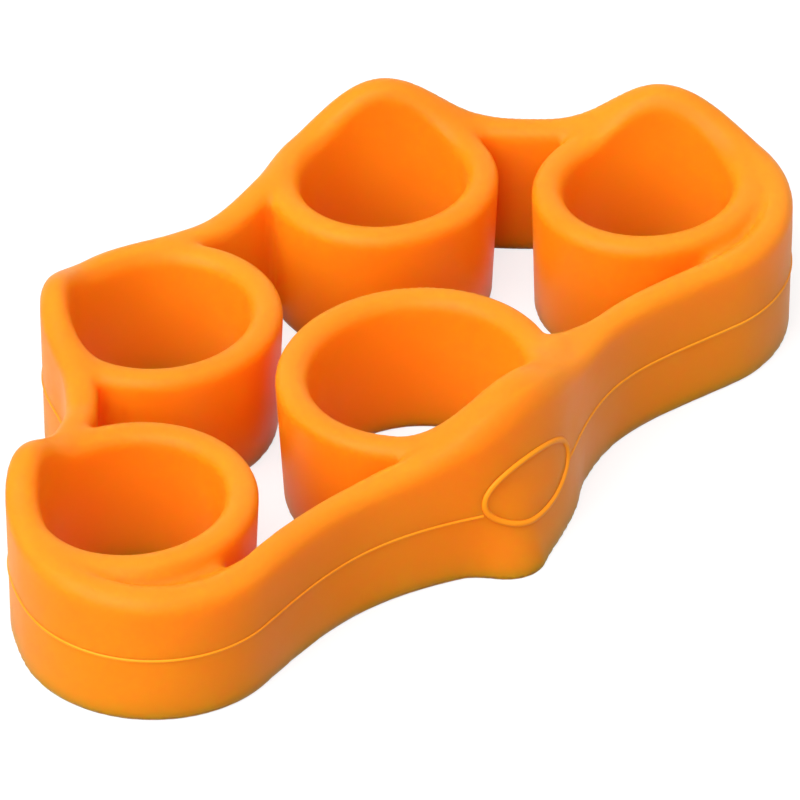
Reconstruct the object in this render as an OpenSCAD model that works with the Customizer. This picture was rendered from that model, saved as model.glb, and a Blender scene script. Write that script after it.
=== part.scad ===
// Silicone finger stretcher: a strip of four finger loops with a thumb loop in front of them.
// The real thing is one moulding. Each zone of it is a module here, and zones meet face to face.
// Origin: middle of the outline, on the surface it lies on. +X towards the little finger loop,
// +Y away from the thumb, +Z up. All sizes are in millimetres.

/* [Loops] */
// Inside diameter of the thumb loop
thumb_bore = 20.5; // [18:0.5:23]
// Inside diameter of the index finger loop
index_bore = 17.2; // [15:0.1:18]
// Inside diameter of the middle finger loop
middle_bore = 17.2; // [15:0.1:18]
// Inside diameter of the ring finger loop
ring_bore = 16.2; // [15:0.1:18]
// Inside diameter of the little finger loop
little_bore = 16.4; // [15:0.1:18]
// Wall of every loop
loop_wall = 3; // [2.4:0.1:3.2]
// Height of every loop, without its crest
loop_height = 14.1; // [12.5:0.1:16]
// Rounding of a loop's rim
rim_round = 1.1; // [0.3:0.1:1.15]

/* [Layout] */
// Distance of the index finger loop from the middle, to the left
index_loop_x = 33.9; // [33.4:0.1:36]
// Distance of the little finger loop from the middle, to the right
little_loop_x = 35.8; // [35:0.1:38]
// Place of the end loops, front to back
end_loop_y = -3.8; // [-5:0.1:-3]
// Sideways place of the middle finger loop, to the left
middle_loop_x = 11.9; // [11:0.1:12.8]
// Sideways place of the ring finger loop, to the right
ring_loop_x = 18.9; // [18.4:0.1:20]
// Place of the middle finger loop, front to back
middle_loop_y = 14.8; // [14.5:0.1:16.5]
// Place of the ring finger loop, front to back
ring_loop_y = 15.3; // [14.5:0.1:17]
// Sideways place of the thumb loop, to the left
thumb_loop_x = 1.6; // [0.8:0.1:2.2]
// Place of the thumb loop, to the front
thumb_loop_y = 8.9; // [8.6:0.1:10]

/* [Crests] */
// How far a finger loop's crest stands above its rim
crest_rise = 3.6; // [2:0.1:6]
// How far the thumb loop's crest stands above its rim
thumb_crest_rise = 3.9; // [2:0.1:6]
// Half the width of a crest
crest_half_width = 10.6; // [9:0.2:11]
// Direction of the end loops' crests, in degrees from straight sideways
end_crest_turn = 40; // [30:1:60]
// Direction of the far loops' crests, in degrees from straight sideways
far_crest_turn = 45; // [40:1:70]
// Direction of the thumb loop's crest
thumb_crest_turn = -84; // [-90:1:-60]

/* [Band] */
// Thickness of the band where it spans between loops
band_wall = 3; // [2.4:0.1:3.4]
// Height of the band
band_height = 13.9; // [12.6:0.1:14.2]
// Angle by which the band behind the middle and ring finger loops dips where it leaves them
back_dip = 17; // [8:1:22]
// Angle by which the band between the index and middle finger loops dips
left_dip = 17; // [8:1:20]
// Angle by which the band between the ring and little finger loops dips
right_dip = 7; // [5:1:14]
// Reach of the curve with which these three bands leave their loops
web_reach = 9.5; // [7:0.5:10]
// How much larger the index heel's radius is than its loop's outside
index_heel_reach = 1.2; // [0.9:0.1:1.8]
// How far the index heel's centre lies to the left of its loop's centre
index_heel_left = 1.3; // [1:0.1:1.8]
// How far the index heel's centre lies in front of its loop's centre
index_heel_forward = 3.7; // [3.3:0.1:4.2]
// How much larger the little heel's radius is than its loop's outside
little_heel_reach = 3; // [2.6:0.1:3.4]
// How far the little heel's centre lies to the left of its loop's centre
little_heel_left = 2.1; // [1.7:0.1:2.4]
// How far the little heel's centre lies in front of its loop's centre
little_heel_forward = 1.6; // [1.3:0.1:2.1]
// Height up to which the space between a heel and its loop is filled
groove_floor = 12; // [9:0.5:12]
// Reach of the curve with which the left front band leaves the heel and the boss
left_span_reach = 10.2; // [8:0.2:12]
// Reach of the curve with which the right front band leaves the heel and the boss
right_span_reach = 12.6; // [10:0.2:14]

/* [Boss] */
// Thickness of the band round the front of the thumb loop
boss_wall = 1.7; // [1.2:0.1:2.4]
// Radius of the boss's foot, seen from above
nose_radius = 3.7; // [3:0.1:5]
// Radius of the boss's flank on the right, seen from above
flank_radius = 5; // [4:0.1:6]
// Distance of the middle of the boss's foot from the thumb loop's centre
nose_distance = 13.9; // [13:0.1:15]
// Direction of the boss's foot from the thumb loop
nose_turn = -97; // [-105:1:-88]
// How far the boss leans back from its foot to its top
nose_lean = 4.2; // [2:0.1:5]
// Length of the oval outline on the boss
oval_length = 12.4; // [8:0.2:13]
// Height of the oval outline
oval_width = 6.6; // [4:0.2:7.4]
// Height of the oval's middle
oval_z = 8; // [6:0.2:9]
// Direction of the oval's middle from the thumb loop
oval_place = -88; // [-92:1:-84]
// Direction in which the oval looks
oval_turn = -84; // [-90:1:-76]
// Width of the outline's line
oval_line = 0.7; // [0.5:0.1:1]
// How far the outline stands out
oval_rise = 0.3; // [0.2:0.05:0.6]

/* [Stretch] */
// Direction in which the ring and little finger loops are drawn away
stretch_turn = 29.5; // [29:0.5:31]
// Distance of the line across which the rubber stretches from the middle of the part
stretch_line = 11; // [10.6:0.1:12]

/* [Hidden] */
$fn = 96;

// Colour of the rubber
rubber = "darkorange";
// Small amount by which a cutter passes a face
pass = 1;
// Step between a loop's wall and the crest above it, on either side
crest_step = 0.05;
// Steps of a crest's profile and of a curved band's edge
crest_steps = 24;
span_steps = 14;
// Larger than the whole part
big = 200;

// Centres of the loops, and their outer radii
thumb_at = [-thumb_loop_x, -thumb_loop_y];
index_at = [-index_loop_x, end_loop_y];
middle_at = [-middle_loop_x, middle_loop_y];
ring_at = [ring_loop_x, ring_loop_y];
little_at = [little_loop_x, end_loop_y];
thumb_out = thumb_bore / 2 + loop_wall;
index_out = index_bore / 2 + loop_wall;
middle_out = middle_bore / 2 + loop_wall;
ring_out = ring_bore / 2 + loop_wall;
little_out = little_bore / 2 + loop_wall;

// Radii and centres of the heels, and the directions in which they end
index_heel_radius = index_out + index_heel_reach;
little_heel_radius = little_out + little_heel_reach;
index_heel_at = index_at - [index_heel_left, index_heel_forward];
little_heel_at = little_at - [little_heel_left, little_heel_forward];
index_tail = 134;
little_tail = 360 + outwards(little_heel_at, little_heel_radius, ring_at, ring_out) + right_dip;
heel_front = 280;

// Where the boss's wall ends on the left and on the right, and the radius of its outside
boss_out = thumb_out + boss_wall;
boss_left = 244;
boss_right = 298;

// Levels of the boss: height, and the share of its lean that is reached there
nose_levels = [
    [0, 0], [0.3 * loop_height, 0.25], [0.6 * loop_height, 0.5], [0.85 * loop_height, 0.72],
    [loop_height, 0.85], [loop_height + 0.4 * thumb_crest_rise, 1]
];
// Share of the lean by which the boss becomes slimmer
nose_taper = 0.2;

function polar(radius, turn) = radius * [cos(turn), sin(turn)];

// A point on the circle of the given centre and radius
function on_circle(centre, radius, turn) = centre + polar(radius, turn);

// The direction in which a circle runs, counted the way round that increases the angle
function along(turn) = [-sin(turn), cos(turn)];

function curve(p, t) =
    pow(1 - t, 3) * p[0] + 3 * t * pow(1 - t, 2) * p[1]
    + 3 * t * t * (1 - t) * p[2] + pow(t, 3) * p[3];

function curve_along(p, t) =
    3 * pow(1 - t, 2) * (p[1] - p[0]) + 6 * t * (1 - t) * (p[2] - p[1]) + 3 * t * t * (p[3] - p[2]);

// The left-hand normal of a direction
function left_of(v) = [-v[1], v[0]] / norm(v);

// The direction in which the outer line that touches two circles lies from their centres
function outwards(a, a_radius, b, b_radius) =
    atan2(b[1] - a[1], b[0] - a[0]) - 90 + asin((a_radius - b_radius) / norm(b - a));

// The outer edge of a curved band, from one circle to the next
function span_curve(from_at, from_radius, from_turn, to_at, to_radius, to_turn, reach) =
    let (start = on_circle(from_at, from_radius, from_turn), end = on_circle(to_at, to_radius, to_turn))
    [start, start + reach * along(from_turn), end - reach * along(to_turn), end];

// Plain cylinder through the whole height, at a loop's outside or inside
module through(centre, radius) {
    translate([centre[0], centre[1], -pass]) cylinder(r = radius, h = big / 2);
}

// Cross-section of a loop's wall, with a rounded rim
module wall_section(bore) {
    inside = bore / 2;
    translate([inside, 0]) square([loop_wall, loop_height - rim_round]);
    translate([inside + rim_round, 0]) square([loop_wall - 2 * rim_round, loop_height]);
    for (side = [rim_round, loop_wall - rim_round])
        translate([inside + side, loop_height - rim_round]) circle(r = rim_round, $fn = 32);
}

// Outline of a crest, seen along the direction it lies in
module crest_section(rise) {
    foot = loop_height - 2 * rim_round;
    top = [
        for (i = [0:crest_steps])
            let (u = -crest_half_width + 2 * crest_half_width * i / crest_steps)
            [u, loop_height - rim_round + (rise + rim_round) * pow(cos(90 * u / crest_half_width), 2)]
    ];
    polygon(concat([[-crest_half_width, foot]], top, [[crest_half_width, foot]]));
}

// A loop: a round wall, and a crest that rises from it on the side that turn points to
module loop(bore, rise, turn) {
    outside = bore / 2 + loop_wall;
    rotate([0, 0, turn]) {
        rotate_extrude() wall_section(bore);
        intersection() {
            difference() {
                cylinder(r = outside - crest_step, h = loop_height + rise + pass);
                translate([0, 0, -pass])
                    cylinder(r = bore / 2 + crest_step, h = loop_height + rise + 3 * pass);
            }
            rotate([90, 0, 90]) linear_extrude(outside + pass) crest_section(rise);
        }
    }
}

// The wedge between two directions, seen from a centre
module wedge(centre, from_turn, to_turn, height) {
    middle_turn = (from_turn + to_turn) / 2;
    reach = 3 * boss_out;
    translate([centre[0], centre[1], 0]) linear_extrude(height)
        polygon([[0, 0], polar(reach, from_turn), polar(2 * reach, middle_turn), polar(reach, to_turn)]);
}

// A heel: the band on a circle in front of the loop, and the lower crescent between the two
module heel(loop_at, loop_radius, heel_at, heel_radius, from_turn, to_turn) {
    difference() {
        intersection() {
            translate([heel_at[0], heel_at[1], 0]) cylinder(r = heel_radius, h = band_height);
            wedge(heel_at, from_turn, to_turn, band_height);
        }
        through(loop_at, loop_radius);
        translate([heel_at[0], heel_at[1], groove_floor]) cylinder(r = heel_radius - band_wall, h = big / 2);
    }
}

// A curved band: its outer edge is a curve, and its inner edge lies one wall further in
module span(p) {
    outer = [for (i = [0:span_steps]) curve(p, i / span_steps)];
    inner = [
        for (i = [span_steps:-1:0])
            let (t = i / span_steps)
            curve(p, t) + band_wall * left_of(curve_along(p, t))
    ];
    linear_extrude(band_height) polygon(concat(outer, inner));
}

// A band behind two loops: it leaves one round with a dip, sags and reaches the other with a dip
module web(a, a_radius, b, b_radius, dip) {
    turn = outwards(a, a_radius, b, b_radius);
    span(span_curve(a, a_radius, turn + dip, b, b_radius, turn - dip, web_reach));
}

// Everything on the far side of the line across which the rubber stretches
module beyond_stretch_line() {
    rotate([0, 0, stretch_turn]) translate([stretch_line, -big / 2, -pass]) cube([big, big, big]);
}

module thumb_loop() {
    color(rubber) translate([thumb_at[0], thumb_at[1], 0])
        loop(thumb_bore, thumb_crest_rise, thumb_crest_turn);
}

// Thin disc at one level of the boss
module level_disc(centre, radius, z) {
    translate([centre[0], centre[1], z]) cylinder(r = radius, h = 0.1, $fn = 36);
}

// The boss's dome outside the thumb loop, larger by grow all round
module dome(grow) {
    difference() {
        hull() for (level = nose_levels) {
            slimmer = nose_taper * nose_lean * level[1];
            nose_back = nose_lean * level[1] - slimmer;
            level_disc(
                on_circle(thumb_at, nose_distance - nose_back, nose_turn),
                nose_radius - slimmer + grow, level[0]
            );
            level_disc(
                on_circle(thumb_at, boss_out - flank_radius - nose_back / 3, boss_right),
                flank_radius - slimmer + grow, level[0]
            );
        }
        through(thumb_at, thumb_out);
    }
}

// Oval outline, seen from the side it looks to
module oval_ring() {
    difference() {
        resize([oval_length, oval_width]) circle(d = oval_length, $fn = 40);
        resize([oval_length - 2 * oval_line, oval_width - 2 * oval_line]) circle(d = oval_length, $fn = 40);
    }
}

// The outline stands out of the dome and follows it
module oval_outline() {
    oval_at = on_circle(thumb_at, nose_distance - nose_radius, oval_place);
    intersection() {
        translate([oval_at[0], oval_at[1], oval_z]) rotate([90, 0, oval_turn + 90])
            linear_extrude(3 * nose_radius) oval_ring();
        dome(oval_rise);
    }
}

// The boss: a dome in front of the thumb loop, and the band behind its left side
module thumb_boss() {
    color(rubber) union() {
        difference() {
            intersection() {
                translate([thumb_at[0], thumb_at[1], 0]) cylinder(r = boss_out, h = band_height);
                wedge(thumb_at, boss_left, boss_right, band_height);
            }
            through(thumb_at, thumb_out);
        }
        intersection() {
            union() {
                dome(0);
                oval_outline();
            }
            wedge(thumb_at, boss_left, boss_right, big / 2);
        }
    }
}

module index_loop() {
    color(rubber) translate([index_at[0], index_at[1], 0])
        loop(index_bore, crest_rise, 180 - end_crest_turn);
}

module index_heel() {
    color(rubber) heel(index_at, index_out, index_heel_at, index_heel_radius, index_tail, heel_front);
}

module middle_loop() {
    color(rubber) translate([middle_at[0], middle_at[1], 0])
        loop(middle_bore, crest_rise, 180 - far_crest_turn);
}

module ring_loop() {
    color(rubber) translate([ring_at[0], ring_at[1], 0])
        loop(ring_bore, crest_rise, far_crest_turn);
}

module little_loop() {
    color(rubber) translate([little_at[0], little_at[1], 0])
        loop(little_bore, crest_rise, end_crest_turn);
}

module little_heel() {
    color(rubber)
        heel(little_at, little_out, little_heel_at, little_heel_radius, 540 - heel_front, little_tail);
}

module index_middle_web() {
    color(rubber) difference() {
        web(middle_at, middle_out, index_at, index_out, left_dip);
        through(middle_at, middle_out);
        through(index_at, index_out);
    }
}

module back_web() {
    difference() {
        web(ring_at, ring_out, middle_at, middle_out, back_dip);
        through(ring_at, ring_out);
        through(middle_at, middle_out);
    }
}

module middle_web() {
    color(rubber) difference() {
        back_web();
        beyond_stretch_line();
    }
}

module ring_web() {
    color(rubber) intersection() {
        back_web();
        beyond_stretch_line();
    }
}

module ring_little_web() {
    color(rubber) difference() {
        web(little_heel_at, little_heel_radius, ring_at, ring_out, right_dip);
        through(little_at, little_out);
        through(ring_at, ring_out);
    }
}

module index_thumb_web() {
    color(rubber) difference() {
        span(span_curve(
            index_heel_at, index_heel_radius, heel_front, thumb_at, boss_out, boss_left, left_span_reach
        ));
        through(thumb_at, thumb_out);
        through(index_at, index_out);
    }
}

module right_span() {
    difference() {
        span(span_curve(
            thumb_at, boss_out, boss_right,
            little_heel_at, little_heel_radius, 540 - heel_front, right_span_reach
        ));
        through(thumb_at, thumb_out);
        through(little_at, little_out);
    }
}

module thumb_web() {
    color(rubber) difference() {
        right_span();
        beyond_stretch_line();
    }
}

module little_web() {
    color(rubber) intersection() {
        right_span();
        beyond_stretch_line();
    }
}

thumb_loop();
thumb_boss();
index_loop();
index_heel();
middle_loop();
ring_loop();
little_loop();
little_heel();
index_middle_web();
middle_web();
ring_web();
ring_little_web();
index_thumb_web();
thumb_web();
little_web();
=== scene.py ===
import math

import bpy
import numpy as np
from mathutils import Matrix, Vector


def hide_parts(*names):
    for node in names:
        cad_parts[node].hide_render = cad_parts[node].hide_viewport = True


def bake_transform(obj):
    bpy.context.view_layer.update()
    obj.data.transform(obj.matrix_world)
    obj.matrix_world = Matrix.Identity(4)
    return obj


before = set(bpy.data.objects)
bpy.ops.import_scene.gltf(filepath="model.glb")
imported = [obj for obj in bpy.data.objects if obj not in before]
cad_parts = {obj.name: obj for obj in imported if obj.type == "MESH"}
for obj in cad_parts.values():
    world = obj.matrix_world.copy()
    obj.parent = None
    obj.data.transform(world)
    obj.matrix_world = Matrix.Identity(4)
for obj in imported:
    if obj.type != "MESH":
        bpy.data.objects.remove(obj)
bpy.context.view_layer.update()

mm = 0.001
print("frame loaded")


# ---- view ----
camera = {
    "eye": (-502.39, -485.99, 523.72),  # mm
    "target": (0.47, -4.82, 7.0),
    "roll": 0.547,  # degrees
    "lens": 413.07,  # on a 36 mm sensor
}


def addCamera():
    data = bpy.data.cameras.new("camera")
    data.lens = camera["lens"]
    data.sensor_width = 36.0
    data.clip_start = 0.01
    data.clip_end = 20.0
    item = bpy.data.objects.new("camera", data)
    eye = Vector(camera["eye"]) * mm
    aim = (Vector(camera["target"]) * mm - eye).to_track_quat("-Z", "Y").to_matrix().to_4x4()
    item.matrix_world = Matrix.Translation(eye) @ aim @ Matrix.Rotation(math.radians(camera["roll"]), 4, "Z")
    bpy.context.scene.collection.objects.link(item)
    bpy.context.scene.camera = item


addCamera()

# ---- shape of the moulding, in mm ----
# Each loop: centre, bore, height of its rim, how far its crest rises, the crest's direction, its spread to
# either side, and how much slimmer the wall is under it
loops = {
    "thumb": {
        "at": (-1.6, -8.9), "bore": 20.5, "rim": 14.3,
        "rise": 3.9, "turn": -86, "spread": (60, 60), "slim": 0,
    },
    "index": {
        "at": (-33.9, -3.8), "bore": 17.2, "rim": 14.1,
        "rise": 3.2, "turn": 124, "spread": (47, 47), "slim": 0.35,
    },
    "middle": {
        "at": (-11.9, 14.8), "bore": 17.2, "rim": 14.0,
        "rise": 2.8, "turn": 137, "spread": (52, 52), "slim": 0.65,
    },
    "ring": {
        "at": (18.9, 15.3), "bore": 16.2, "rim": 14.1,
        "rise": 3.8, "turn": 45, "spread": (64, 57), "slim": 0,
    },
    "little": {
        "at": (35.8, -3.8), "bore": 16.4, "rim": 14.1,
        "rise": 3.6, "turn": 37, "spread": (61, 53), "slim": 0,
    },
}
wall = {
    "thickness": 3.05,
    "oval": 1.08,  # length of a loop over its width
    "draft": 0.037,  # how much the outside draws in per mm downwards
    "boreDraft": 0.025,  # and how much a finger loop's bore narrows
    "thumbDraft": 0.067,  # of the thumb loop, bore and outside
    "rimRound": 1.35,
    "footRound": 0.4,
    "fillet": 1.2,  # where a loop meets the band
    "boreClear": 0.9,  # how far a bore cuts into what is not its own wall
    "boreBlend": 0.6,
    # between the thumb loop and the right front band
    "crotch": {"at": (11.0, -15.5), "size": 3.2, "fill": 2.0, "fillet": 2.6},
}
heels = {
    "index": {"offset": (-1.1, -3.8), "radius": 12.7},  # from the loop's centre
    "little": {"offset": (-2.1, -1.6), "radius": 14.2},
    "front": 280,  # where the index heel ends, the other one mirrors it
    "floor": 12.2,  # height of the floor between a heel and its loop
    "inset": 1.6,  # of the floor's edge, from the outside
    "cornerRound": 2.0,
    "edgeRound": 1.5,
    "behind": 4,  # how far the floor reaches behind the loop's centre
    "blend": 2.2,
}
band = {
    "thickness": 3.0,
    "heights": ((-4, 13.4), (10, 14.1), (38, 14.3), (47, 14.9)),  # from left to right
    "backDrop": 0.3,
    "backFrom": (12, 20),  # front to back, where that drop begins and is whole
    "loopHeight": 14.1,  # to which it rises at a loop
    "loopReach": 3.0,
    "crestReach": 3.0,  # how far a crest runs out on to the band
    "crestKept": 0.9,  # of its rise, where it meets the band
    "edgeRound": 1.35,
    "dips": {"left": 22, "right": 7, "back": 17},
    "reach": {"left": 9.5, "right": 9.5, "back": 9.5, "frontLeft": 10.2, "frontRight": 12.6},
    "bossRadius": 15.05,
    "bossTurns": (244, 298),
    "soften": 0.8,  # smooths the whole outline
}
toe = {
    "distance": 13.9,  # from the thumb loop's centre
    "turn": -97,
    "radius": 3.7,
    "flankRadius": 5.0,
    "fillet": 2.4,
    "height": 9.5,  # where it has run out
    "fade": 1.4,
    "lean": 0.1,  # of the face above it, per mm
    "leanFrom": 7.0,
}


def unit(turn):
    return np.array([math.cos(math.radians(turn)), math.sin(math.radians(turn))])


def outside(name):
    return loops[name]["bore"] / 2 + wall["thickness"]


def heelCentre(name):
    return np.add(loops[name]["at"], heels[name]["offset"])


# Point of an oval or round outside whose wall faces the direction turn
def facing(centre, radius, turn, oval=1.0):
    across, deep = radius * math.sqrt(oval), radius / math.sqrt(oval)
    t = math.atan2(deep * unit(turn)[1], across * unit(turn)[0])
    return np.array([centre[0] + across * math.cos(t), centre[1] + deep * math.sin(t)])


def arc(centre, radius, first, last, oval=1.0):
    return [facing(centre, radius, turn, oval) for turn in np.linspace(first, last, 40)]


def sweep(start, fromTurn, end, toTurn, reach):
    a, d = start, end
    b = a + reach * np.array([-unit(fromTurn)[1], unit(fromTurn)[0]])
    c = d - reach * np.array([-unit(toTurn)[1], unit(toTurn)[0]])
    t = np.linspace(0, 1, 41)[1:-1, None]
    return list((1 - t) ** 3 * a + 3 * t * (1 - t) ** 2 * b + 3 * t * t * (1 - t) * c + t**3 * d)


# Direction in which the line that touches two rounds from outside faces
def facingOf(first, firstRadius, second, secondRadius):
    way = np.subtract(second, first)
    lean = math.asin((firstRadius - secondRadius) / np.hypot(*way))
    return (math.degrees(math.atan2(way[1], way[0]) + lean) - 90) % 360


# Evenly spaced and softened copy of a closed outline
def softened(points, size, step=0.5):
    points = np.array(points)
    length = np.concatenate([[0], np.cumsum(np.linalg.norm(np.roll(points, -1, 0) - points, axis=1))])
    count = int(length[-1] / step)
    at = np.linspace(0, length[-1], count, endpoint=False)
    closed = np.concatenate([points, points[:1]])
    even = np.stack([np.interp(at, length, closed[:, k]) for k in (0, 1)], -1)
    steps = np.arange(-8, 9)
    share = np.exp(-0.5 * (steps * step / size) ** 2)
    return sum(w * np.roll(even, k, 0) for w, k in zip(share / share.sum(), steps))


# Outer edge of the whole moulding, seen from above
def outline():
    oval, dips, reach = wall["oval"], band["dips"], band["reach"]
    at = {name: np.array(loops[name]["at"]) for name in loops}
    heelAt = {name: heelCentre(name) for name in ("index", "little")}
    heelOut = {name: heels[name]["radius"] for name in heelAt}
    front, (bossLeft, bossRight) = heels["front"], band["bossTurns"]
    boss = band["bossRadius"]
    right = facingOf(heelAt["little"], heelOut["little"], at["ring"], outside("ring"))
    back = facingOf(at["ring"], outside("ring"), at["middle"], outside("middle"))
    left = facingOf(at["middle"], outside("middle"), at["index"], outside("index"))

    def around(name, first, last):
        return arc(at[name], outside(name) - loops[name]["slim"], first, last, oval)

    ring = around("ring", right - dips["right"], back + dips["back"])
    middle = around("middle", back - dips["back"], left + dips["left"])
    index = around("index", left - dips["left"], 190)
    index = [p for p in index if np.hypot(*(p - heelAt["index"])) > heelOut["index"]]
    indexHeel = arc(heelAt["index"], heelOut["index"], 120, front)
    axes = [oval**0.5, oval**-0.5]
    indexHeel = [p for p in indexHeel if np.hypot(*((p - at["index"]) / axes)) > outside("index")]
    littleHeel = arc(heelAt["little"], heelOut["little"], 540 - front, 360 + right + dips["right"])
    thumbFront = arc(at["thumb"], boss, bossLeft, bossRight)
    path = indexHeel + sweep(indexHeel[-1], front, thumbFront[0], bossLeft, reach["frontLeft"])
    path += thumbFront + sweep(thumbFront[-1], bossRight, littleHeel[0], 540 - front, reach["frontRight"])
    path += littleHeel
    path += sweep(littleHeel[-1], right + dips["right"], ring[0], right - dips["right"], reach["right"])
    path += ring + sweep(ring[-1], back + dips["back"], middle[0], back - dips["back"], reach["back"])
    path += middle + sweep(middle[-1], left + dips["left"], index[0], left - dips["left"], reach["left"])
    return softened(path + index, band["soften"])


outerEdge = outline()


def polygonDistance(points, x, y):
    best = np.full(x.shape, 1e9)
    inside = np.zeros(x.shape, bool)
    for a, b in zip(points, np.roll(points, -1, axis=0)):
        edge = b - a
        px, py = x - a[0], y - a[1]
        t = np.clip((px * edge[0] + py * edge[1]) / (edge @ edge + 1e-12), 0, 1)
        best = np.minimum(best, (px - t * edge[0]) ** 2 + (py - t * edge[1]) ** 2)
        if a[1] != b[1]:
            crosses = (a[1] > y) != (b[1] > y)
            inside ^= crosses & (px < py * edge[0] / edge[1])
    return np.where(inside, -1, 1) * np.sqrt(best)


def softMin(a, b, k):
    h = np.maximum(k - np.abs(a - b), 0)
    return np.minimum(a, b) - h * h / (4 * k)


def softMax(a, b, k):
    return -softMin(-a, -b, k)


def roundedMax(a, b, r):
    return np.minimum(np.maximum(a, b), -r) + np.hypot(np.maximum(a + r, 0), np.maximum(b + r, 0))


def topped(plan, z, top, edge):
    return roundedMax(plan, z - top, edge)


def rampUp(value, low, high):
    t = np.clip((value - low) / (high - low), 0, 1)
    return t * t * (3 - 2 * t)


# Share of a crest's rise in the direction of a point
def crestShare(name, x, y):
    loop = loops[name]
    turn = math.radians(loop["turn"])
    dx, dy = x - loop["at"][0], y - loop["at"][1]
    ahead = dx * math.cos(turn) + dy * math.sin(turn)
    aside = dy * math.cos(turn) - dx * math.sin(turn)
    away = np.degrees(np.arctan2(aside, ahead + 1e-9))
    share = np.where(away < 0, -away / loop["spread"][0], away / loop["spread"][1])
    return np.cos(np.minimum(share, 1) * math.pi / 2) ** 2


# Distance from a loop's middle, measured so that its oval wall is round
def fromLoop(name, x, y):
    stretch = math.sqrt(wall["oval"])
    dx, dy = (x - loops[name]["at"][0]) / stretch, (y - loops[name]["at"][1]) * stretch
    radius = np.hypot(dx, dy) + 1e-9
    middle = loops[name]["bore"] / 2 + wall["thickness"] / 2
    return middle + (radius - middle) * radius / (np.hypot(dx / stretch, dy * stretch) + 1e-9)


# The toe's foot, seen from above
def toeFoot(x, y):
    thumb = np.array(loops["thumb"]["at"])
    flankTurn = band["bossTurns"][1]
    a = thumb + toe["distance"] * unit(toe["turn"])
    b = thumb + (band["bossRadius"] - toe["flankRadius"]) * unit(flankTurn)
    edge = b - a
    t = np.clip(((x - a[0]) * edge[0] + (y - a[1]) * edge[1]) / (edge @ edge), 0, 1)
    radius = toe["radius"] + t * (toe["flankRadius"] - toe["radius"])
    return np.hypot(x - a[0] - t * edge[0], y - a[1] - t * edge[1]) - radius


# All that depends on the plan alone
def planFields(x, y):
    plan = {"edge": polygonDistance(outerEdge, x, y)}
    plan["foot"] = softMin(plan["edge"], toeFoot(x, y), toe["fillet"])
    top = np.interp(x, *zip(*band["heights"])) - band["backDrop"] * rampUp(y, *band["backFrom"])
    near, runOut = 0, 0
    for name in loops:
        r = fromLoop(name, x, y)
        share = crestShare(name, x, y)
        rise = loops[name]["rise"] * share
        plan[name] = r - loops[name]["bore"] / 2 - wall["thickness"] / 2
        plan[name + "Top"] = loops[name]["rim"] + rise
        plan[name + "Slim"] = loops[name]["slim"] * share
        plan[name + "Bore"] = loops[name]["bore"] / 2 + wall["boreClear"] - r
        away = np.maximum(plan[name] - wall["thickness"] / 2, 0)
        near = np.maximum(near, np.exp(-((away / band["loopReach"]) ** 2)))
        runOut = runOut + rise * np.exp(-((away / band["crestReach"]) ** 2))
    plan["bandTop"] = top + np.maximum(band["loopHeight"] - top, 0) * near + band["crestKept"] * runOut
    floors = []
    for name, side in (("index", 1), ("little", -1)):
        centre, turn = heelCentre(name), math.radians(heels["front"])
        disc = np.hypot(x - centre[0], y - centre[1]) - heels[name]["radius"] + heels["inset"]
        beyond = -side * (x - centre[0]) * math.sin(turn) + (y - centre[1]) * math.cos(turn)
        behind = y - loops[name]["at"][1] - heels["behind"]
        floors.append(np.maximum(roundedMax(disc, beyond, heels["cornerRound"]), behind))
    plan["heels"] = np.minimum(*floors)
    plan["front"] = crestShare("thumb", x, y)
    crotch = wall["crotch"]
    close = np.exp(-((x - crotch["at"][0]) ** 2 + (y - crotch["at"][1]) ** 2) / crotch["size"] ** 2)
    plan["fillet"] = wall["fillet"] + (crotch["fillet"] - wall["fillet"]) * close
    plan["inner"] = -plan["edge"] - band["thickness"] - crotch["fill"] * close
    return plan


# Distance-like field, below 0 in the rubber
def mouldField(x, y, z, plan=None):
    if plan is None:
        plan = planFields(x, y)
    drawn = np.maximum(loops["index"]["rim"] - z, 0)
    share = np.clip(1 - z / toe["height"], 0, 1) ** toe["fade"]
    edge = plan["edge"] + toe["lean"] * np.maximum(z - toe["leanFrom"], 0) * plan["front"]
    edge = edge + (plan["foot"] - edge) * share
    ribbon = np.maximum(edge, plan["inner"])
    ribbon = topped(ribbon, z, plan["bandTop"], band["edgeRound"])
    floor = topped(plan["heels"], z, heels["floor"], heels["edgeRound"])
    body = softMin(ribbon, floor, heels["blend"])
    for name in loops:
        body = softMax(body, plan[name + "Bore"], wall["boreBlend"])
    for name in loops:
        half = wall["thickness"] / 2
        if name == "thumb":
            side = np.abs(plan[name] + drawn * wall["thumbDraft"]) - half
        else:
            inner = -plan[name] - drawn * wall["boreDraft"]
            side = np.maximum(plan[name] + drawn * wall["draft"] + plan[name + "Slim"], inner) - half
        body = softMin(body, topped(side, z, plan[name + "Top"], wall["rimRound"]), plan["fillet"])
    return roundedMax(body, -z, wall["footRound"])  # one flat underside, after all blends


# ---- skin over the field ----
skin = {"cell": 0.5, "cellQuick": 0.8}


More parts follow.
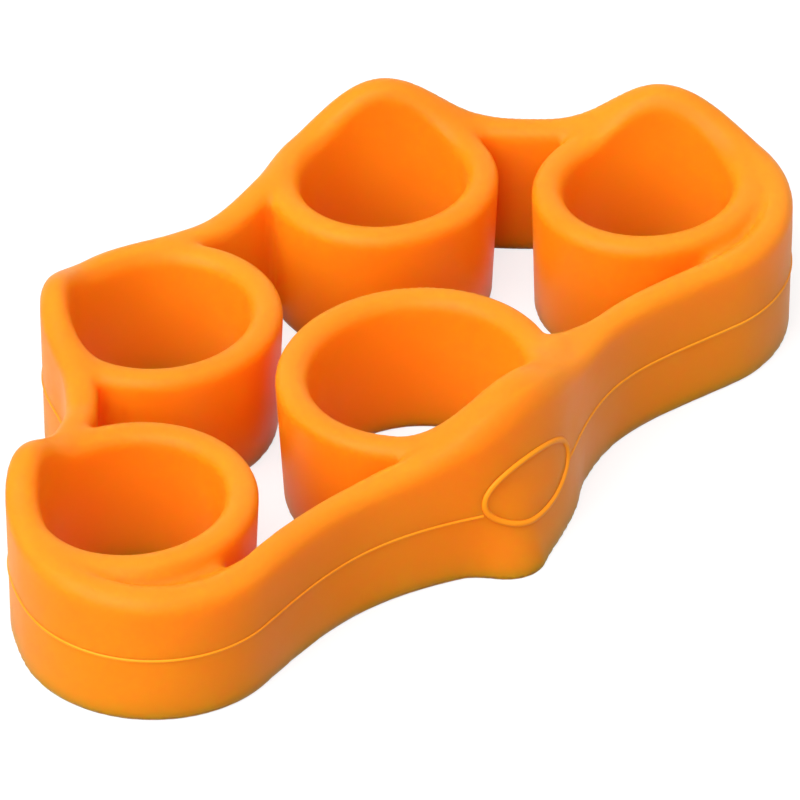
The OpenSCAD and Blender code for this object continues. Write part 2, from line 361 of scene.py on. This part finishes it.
def surfaceNet(cell):
    low, high = (-49.0, -28.0, -0.75), (49.0, 28.5, 19.0)
    axes = [np.arange(a, b + cell, cell) + 0.013 for a, b in zip(low, high)]
    gx, gy = np.meshgrid(axes[0], axes[1], indexing="ij")
    plan = planFields(gx, gy)
    values = np.stack([mouldField(gx, gy, np.full(gx.shape, z), plan) for z in axes[2]], -1)
    shape = np.array(values.shape)
    nodes = np.stack(np.meshgrid(*axes, indexing="ij"), -1)
    inside = values < 0
    total = np.zeros(tuple(shape - 1) + (3,))
    count = np.zeros(tuple(shape - 1))
    crossings = []
    for axis in range(3):
        a = [slice(None)] * 3
        b = [slice(None)] * 3
        a[axis], b[axis] = slice(None, -1), slice(1, None)
        ia, ib = inside[tuple(a)], inside[tuple(b)]
        where = np.argwhere(ia != ib)
        i = tuple(where.T)
        va, vb = values[tuple(a)][i], values[tuple(b)][i]
        t = (va / (va - vb))[:, None]
        point = nodes[tuple(a)][i] * (1 - t) + nodes[tuple(b)][i] * t
        others = [k for k in range(3) if k != axis]
        corners = []
        for du, dv in ((0, 0), (1, 0), (1, 1), (0, 1)):
            cellAt = where.copy()
            cellAt[:, others[0]] -= du
            cellAt[:, others[1]] -= dv
            corners.append(cellAt)
            j = tuple(cellAt.T)
            np.add.at(total, j, point)
            np.add.at(count, j, 1)
        flip = ia[i] if axis != 1 else ~ia[i]
        crossings.append((corners, flip))
    used = np.argwhere(count > 0)
    number = np.full(tuple(shape - 1), -1)
    number[tuple(used.T)] = np.arange(len(used))
    verts = total[tuple(used.T)] / count[tuple(used.T)][:, None]
    faces = []
    for corners, flip in crossings:
        quad = np.stack([number[tuple(c.T)] for c in corners], -1)
        faces.append(np.where(flip[:, None], quad, quad[:, ::-1]))
    return verts, np.concatenate(faces)


def slopeAt(p, step=0.04):
    parts = []
    for axis in range(3):
        q = np.zeros(3)
        q[axis] = step
        ahead, behind = p + q, p - q
        parts.append((mouldField(*ahead.T) - mouldField(*behind.T)) / (2 * step))
    return np.stack(parts, -1)


def settle(points, rounds=3):
    for i in range(rounds):
        value = mouldField(*points.T)
        slope = slopeAt(points)
        move = -(value / (np.sum(slope * slope, -1) + 1e-6))[:, None] * slope
        size = np.linalg.norm(move, axis=1, keepdims=True)
        points = points + move * np.minimum(1, 0.25 / (size + 1e-9))
    return points


def addMesh(name, verts, faces):
    mesh = bpy.data.meshes.new(name)
    mesh.from_pydata((np.asarray(verts) * mm).tolist(), [], np.asarray(faces).tolist())
    mesh.update()
    mesh.shade_smooth()
    item = bpy.data.objects.new(name, mesh)
    bpy.context.scene.collection.objects.link(item)
    return item


def addMoulding():
    verts, faces = surfaceNet(skin["cell"])
    verts = settle(verts)
    print("moulding: %d points, %d faces" % (len(verts), len(faces)))
    return addMesh("moulding", verts, faces)


# ---- raised lines ----
ridges = {
    "partingHeight": 7.0,  # where the two halves of the mould met
    "partingRadius": 0.19,
    "partingDepth": 0.07,  # of the line's middle under the skin
    "ovalRadius": 0.32,
    "ovalDepth": 0.06,
    "ovalLength": 11.6,
    "ovalWidth": 6.6,
    "ovalPlace": -87,  # direction from the thumb loop's centre
    "ovalTurn": -84,
    "ovalHeight": 8.1,
    "sides": 10,
}


# Lays a line on to the moulding along each point's aim, and gives it a round section
def ridgeTree():
    tree = bpy.data.node_groups.new("ridgeLines", "GeometryNodeTree")
    tree.is_modifier = True
    sockets = {}
    given = {
        "Line": "Geometry", "Moulding": "Object", "Radius": "Float",
        "Depth": "Float", "Sides": "Int", "Finish": "Material",
    }
    for name, kind in given.items():
        sockets[name] = tree.interface.new_socket(name, in_out="INPUT", socket_type="NodeSocket" + kind)
    tree.interface.new_socket("Ridge", in_out="OUTPUT", socket_type="NodeSocketGeometry")
    node = {}
    kinds = {
        "given": "NodeGroupInput",
        "skin": "GeometryNodeObjectInfo",
        "aim": "GeometryNodeInputNamedAttribute",
        "ray": "GeometryNodeRaycast",
        "sink": "ShaderNodeVectorMath",
        "spot": "ShaderNodeVectorMath",
        "lay": "GeometryNodeSetPosition",
        "path": "GeometryNodeMeshToCurve",
        "section": "GeometryNodeCurvePrimitiveCircle",
        "tube": "GeometryNodeCurveToMesh",
        "real": "GeometryNodeRealizeInstances",
        "finish": "GeometryNodeSetMaterial",
        "result": "NodeGroupOutput",
    }
    for column, (name, kind) in enumerate(kinds.items()):
        node[name] = tree.nodes.new(kind)
        node[name].location = (column * 180, 0)
    node["aim"].data_type = "FLOAT_VECTOR"
    node["aim"].inputs["Name"].default_value = "aim"
    node["ray"].inputs["Ray Length"].default_value = 0.01
    node["sink"].operation = "SCALE"
    node["spot"].operation = "ADD"

    def join(source, output, target, slot):
        tree.links.new(node[source].outputs[output], node[target].inputs[slot])

    join("given", "Moulding", "skin", "Object")
    join("skin", "Geometry", "ray", "Target Geometry")
    join("aim", "Attribute", "ray", "Ray Direction")
    join("aim", "Attribute", "sink", 0)
    join("given", "Depth", "sink", "Scale")
    join("ray", "Hit Position", "spot", 0)
    join("sink", "Vector", "spot", 1)
    join("given", "Line", "lay", "Geometry")
    join("ray", "Is Hit", "lay", "Selection")
    join("spot", "Vector", "lay", "Position")
    join("lay", "Geometry", "path", "Mesh")
    join("given", "Sides", "section", "Resolution")
    join("given", "Radius", "section", "Radius")
    join("path", "Curve", "tube", "Curve")
    join("section", "Curve", "tube", "Profile Curve")
    node["tube"].inputs["Fill Caps"].default_value = True
    join("tube", "Mesh", "real", "Geometry")
    join("real", "Geometry", "finish", "Geometry")
    join("given", "Finish", "finish", "Material")
    join("finish", "Geometry", "result", "Ridge")
    return tree, sockets


def addRidge(name, points, aims, closed, size, moulding, finish, tree, sockets):
    radius, depth = size
    count = len(points)
    mesh = bpy.data.meshes.new(name + "Path")
    edges = [(i, (i + 1) % count) for i in range(count if closed else count - 1)]
    mesh.from_pydata((np.array(points) * mm).tolist(), edges, [])
    aim = mesh.attributes.new("aim", "FLOAT_VECTOR", "POINT")
    aim.data.foreach_set("vector", np.array(aims, dtype=float).ravel())
    path = bpy.data.objects.new(name + "Path", mesh)
    bpy.context.scene.collection.objects.link(path)
    change = path.modifiers.new("ridgeLines", "NODES")
    change.node_group = tree
    values = {
        "Moulding": moulding, "Radius": radius * mm, "Depth": depth * mm,
        "Sides": ridges["sides"], "Finish": finish,
    }
    for key, value in values.items():
        change[sockets[key].identifier] = value
    made = bpy.data.meshes.new_from_object(path.evaluated_get(bpy.context.evaluated_depsgraph_get()))
    bpy.data.objects.remove(path)
    made.name = name
    made.shade_smooth()
    item = bpy.data.objects.new(name, made)
    bpy.context.scene.collection.objects.link(item)
    print("%s: %d points" % (name, len(made.vertices)))
    return item


def addRidges(moulding, finish):
    tree, sockets = ridgeTree()
    thumb = np.array(loops["thumb"]["at"])
    out = np.array([*unit(ridges["ovalTurn"]), 0])
    across = np.array([-out[1], out[0], 0])
    middle = np.array([*(thumb + (band["bossRadius"] + 3) * unit(ridges["ovalPlace"])), ridges["ovalHeight"]])
    turns = np.linspace(0, 2 * math.pi, 72, endpoint=False)
    up = np.array([0, 0, 1])
    half = ridges["ovalLength"] / 2, ridges["ovalWidth"] / 2
    oval = [middle + across * math.cos(t) * half[0] + up * math.sin(t) * half[1] for t in turns]
    way = np.roll(outerEdge, -1, 0) - np.roll(outerEdge, 1, 0)
    normal = np.stack([way[:, 1], -way[:, 0]], -1) / np.linalg.norm(way, axis=1)[:, None]
    place = (outerEdge - middle[:2]) @ across[:2]
    ahead = (outerEdge - thumb) @ out[:2]
    crossed = (np.abs(place) < half[0] - 0.1) & (ahead > 0)  # the seam stops at the oval
    first, count = np.where(crossed)[0], len(crossed)
    start = first[-1] if first[-1] - first[0] < count / 2 else first[first < count / 2][-1]
    order = [(start + i) % count for i in range(1, count)]
    order = [i for i in order if not crossed[i]]
    seam = [[*(outerEdge[i] + 3 * normal[i]), ridges["partingHeight"]] for i in order]
    seamAims = [[*(-normal[i]), 0] for i in order]
    seamSize = ridges["partingRadius"], ridges["partingDepth"]
    ovalSize = ridges["ovalRadius"], ridges["ovalDepth"]
    return [
        addRidge("partingLine", seam, seamAims, False, seamSize, moulding, finish, tree, sockets),
        addRidge("ovalOutline", oval, [-out] * len(oval), True, ovalSize, moulding, finish, tree, sockets),
    ]


# ---- silicone ----
silicone = {
    "light": (1.0, 0.275, 0.006),
    "deep": (1.0, 0.23, 0.004),
    "line": (1.0, 0.35, 0.012),  # of the raised lines: paler than the moulding's orange, a painted highlight along them
    "roughness": (0.40, 0.50),
    "specular": 0.2,
    "ior": 1.41,
    "tintScale": 45,  # of the noise, per metre
    "roughScale": 220,
    "bumpScale": 1400,
    "bumpDepth": 0.00004,  # m
    "bumpStrength": 0.25,
    "bleed": (1.0, 0.35, 0.12),
    "bleedScale": 0.0055,
}


def siliconeMaterial(name, deep, light, bleeds):
    material = bpy.data.materials.new(name)
    material.use_nodes = True
    nodes, links = material.node_tree.nodes, material.node_tree.links
    shader = nodes["Principled BSDF"]
    place = nodes.new("ShaderNodeTexCoord")

    def noise(scale, detail):
        node = nodes.new("ShaderNodeTexNoise")
        node.inputs["Scale"].default_value = scale
        node.inputs["Detail"].default_value = detail
        links.new(place.outputs["Object"], node.inputs["Vector"])
        return node.outputs["Fac"]

    def spread(value, low, high):
        node = nodes.new("ShaderNodeMapRange")
        node.inputs["From Min"].default_value = 0.3
        node.inputs["From Max"].default_value = 0.7
        node.inputs["To Min"].default_value = low
        node.inputs["To Max"].default_value = high
        links.new(value, node.inputs["Value"])
        return node.outputs["Result"]

    tint = nodes.new("ShaderNodeMix")
    tint.data_type = "RGBA"
    tint.inputs[6].default_value = (*deep, 1)
    tint.inputs[7].default_value = (*light, 1)
    links.new(spread(noise(silicone["tintScale"], 3), 0, 1), tint.inputs[0])
    links.new(tint.outputs[2], shader.inputs["Base Color"])
    rough = spread(noise(silicone["roughScale"], 4), *silicone["roughness"])
    links.new(rough, shader.inputs["Roughness"])
    bump = nodes.new("ShaderNodeBump")
    bump.inputs["Strength"].default_value = silicone["bumpStrength"]
    bump.inputs["Distance"].default_value = silicone["bumpDepth"]
    links.new(noise(silicone["bumpScale"], 4), bump.inputs["Height"])
    links.new(bump.outputs["Normal"], shader.inputs["Normal"])
    shader.inputs["Subsurface Weight"].default_value = 1.0 if bleeds else 0.0
    shader.inputs["Subsurface Radius"].default_value = silicone["bleed"]
    shader.inputs["Subsurface Scale"].default_value = silicone["bleedScale"]
    shader.inputs["IOR"].default_value = silicone["ior"]
    shader.inputs["Specular IOR Level"].default_value = silicone["specular"]
    return material


# ---- light and floor ----
studio = {
    "key": {"from": (-0.80, -0.10, 0.75), "size": 1.3, "power": 15.5},  # m, m, W
    "fill": {"from": (-0.1, 0.0, 1.2), "size": 1.6, "power": 4.0},
    "world": 0.56,
    "floor": 0.3,
    "floorDrop": 0.02,  # mm under the part
    "floorReach": 3000,  # mm
    "floorGlow": 0.75,  # lights nothing
}


def addLamp(name, spec):
    data = bpy.data.lights.new(name, "AREA")
    data.shape = "DISK"
    data.size = spec["size"]
    data.energy = spec["power"]
    item = bpy.data.objects.new(name, data)
    place = Vector(spec["from"])
    item.matrix_world = Matrix.Translation(place) @ (-place).to_track_quat("-Z", "Y").to_matrix().to_4x4()
    bpy.context.scene.collection.objects.link(item)


# 1 for the rays that show the background: the camera's own, mirrored ones and those through glass
def backgroundRays(nodes, links):
    path = nodes.new("ShaderNodeLightPath")
    seen = path.outputs["Is Camera Ray"]
    for name in ("Is Glossy Ray", "Is Transmission Ray"):
        either = nodes.new("ShaderNodeMath")
        either.operation = "MAXIMUM"
        links.new(seen, either.inputs[0])
        links.new(path.outputs[name], either.inputs[1])
        seen = either.outputs[0]
    return seen


def addStudio():
    world = bpy.data.worlds.new("studio")
    world.use_nodes = True
    bpy.context.scene.world = world
    nodes, links = world.node_tree.nodes, world.node_tree.links
    back = nodes["Background"]
    back.inputs["Color"].default_value = (1, 1, 1, 1)
    level = nodes.new("ShaderNodeMapRange")
    level.inputs["To Min"].default_value = studio["world"]
    level.inputs["To Max"].default_value = 1.0
    links.new(backgroundRays(nodes, links), level.inputs["Value"])
    links.new(level.outputs["Result"], back.inputs["Strength"])
    addLamp("keyLight", studio["key"])
    addLamp("fillLight", studio["fill"])
    reach, drop = studio["floorReach"], studio["floorDrop"]
    corners = [(-reach, -reach, -drop), (reach, -reach, -drop), (reach, reach, -drop), (-reach, reach, -drop)]
    floor = addMesh("floor", corners, [(0, 1, 2, 3)])
    material = bpy.data.materials.new("paleFloor")
    material.use_nodes = True
    nodes, links = material.node_tree.nodes, material.node_tree.links
    nodes.remove(nodes["Principled BSDF"])
    matt = nodes.new("ShaderNodeBsdfDiffuse")
    matt.inputs["Color"].default_value = (studio["floor"],) * 3 + (1,)
    glow = nodes.new("ShaderNodeEmission")
    lift = nodes.new("ShaderNodeMath")
    lift.operation = "MULTIPLY"
    lift.inputs[1].default_value = studio["floorGlow"]
    links.new(backgroundRays(nodes, links), lift.inputs[0])
    links.new(lift.outputs[0], glow.inputs["Strength"])
    both = nodes.new("ShaderNodeAddShader")
    links.new(matt.outputs[0], both.inputs[0])
    links.new(glow.outputs[0], both.inputs[1])
    links.new(both.outputs[0], nodes["Material Output"].inputs["Surface"])
    floor.data.materials.append(material)


bpy.context.scene.view_settings.view_transform = "Standard"
addStudio()
print("studio ready")

moulding = addMoulding()
orange = siliconeMaterial("orangeSilicone", silicone["deep"], silicone["light"], True)
moulding.data.materials.append(orange)
# The raised lines get the paler orange as a painted highlight, and no bleed
lines = addRidges(moulding, siliconeMaterial("raisedLine", silicone["light"], silicone["line"], False))

for piece in [moulding] + lines:
    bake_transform(piece)
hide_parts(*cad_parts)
